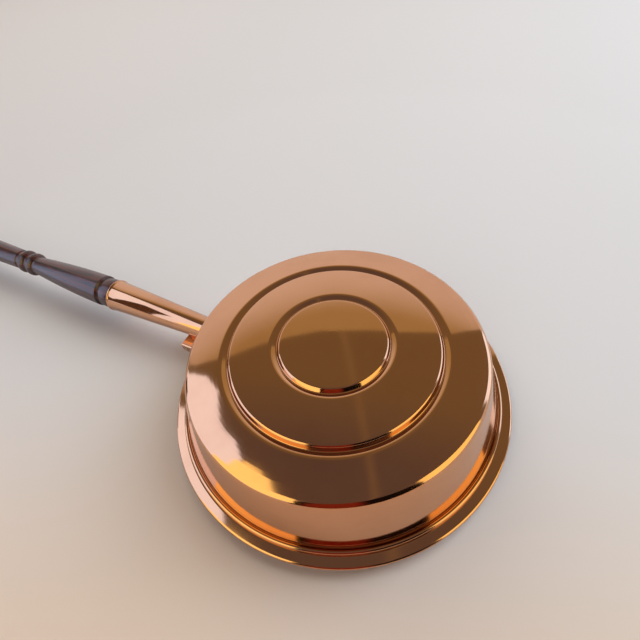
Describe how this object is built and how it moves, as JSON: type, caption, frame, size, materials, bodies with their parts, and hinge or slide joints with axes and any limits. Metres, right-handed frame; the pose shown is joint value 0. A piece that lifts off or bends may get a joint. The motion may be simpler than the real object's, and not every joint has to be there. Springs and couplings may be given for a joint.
{
  "type": "bed warming pan",
  "caption": "Round copper bed warming pan with stamped rings in its base, a hinged dish lid, a tapered handle socket and a long turned wooden handle with a hanging ring.",
  "frame": {"origin": "middle of the lid's flat face, on the surface that the closed lid rests on", "axes": "+Z from the lid to the pan's base, along the pan's axis; +X away from the handle, which runs towards -X"},
  "size_m": [1.0532, 0.3056, 0.0889],
  "materials": {
    "copper": "polished and lacquered copper sheet",
    "brass": "polished brass wire and screws",
    "steel": "drawn steel wire",
    "walnut": "dark stained and varnished turned wood"
  },
  "bodies": {
    "pan": {"pan_body": "copper", "pan_rim_wire": "steel", "saddle_bracket": "copper", "saddle_rivet_1": "copper", "saddle_rivet_2": "copper", "saddle_rivet_3": "copper", "saddle_rivet_4": "copper", "handle_socket": "copper", "socket_screw_1": "brass", "socket_screw_2": "brass", "wooden_handle": "walnut", "screw_eye": "brass", "hinge_pin": "steel"},
    "lid": {"lid_panel": "copper", "lid_rim_wire": "steel", "hinge_leaf": "copper", "leaf_rivet_1": "copper", "leaf_rivet_2": "copper", "leaf_rivet_3": "copper"},
    "ring": {"hanging_ring": "brass"}
  },
  "joints": [
    {"name": "lid_hinge", "type": "hinge", "parent": "pan", "child": "lid", "pos_m": [-0.163, 0, 0.0137], "axis": [0, 1, 0], "range_deg": [0, 168]},
    {"name": "ring_swing", "type": "hinge", "parent": "pan", "child": "ring", "pos_m": [-0.89581, 0, 0.03171], "axis": [0, 1, 0], "range_deg": [-50, 230]}
  ]
}
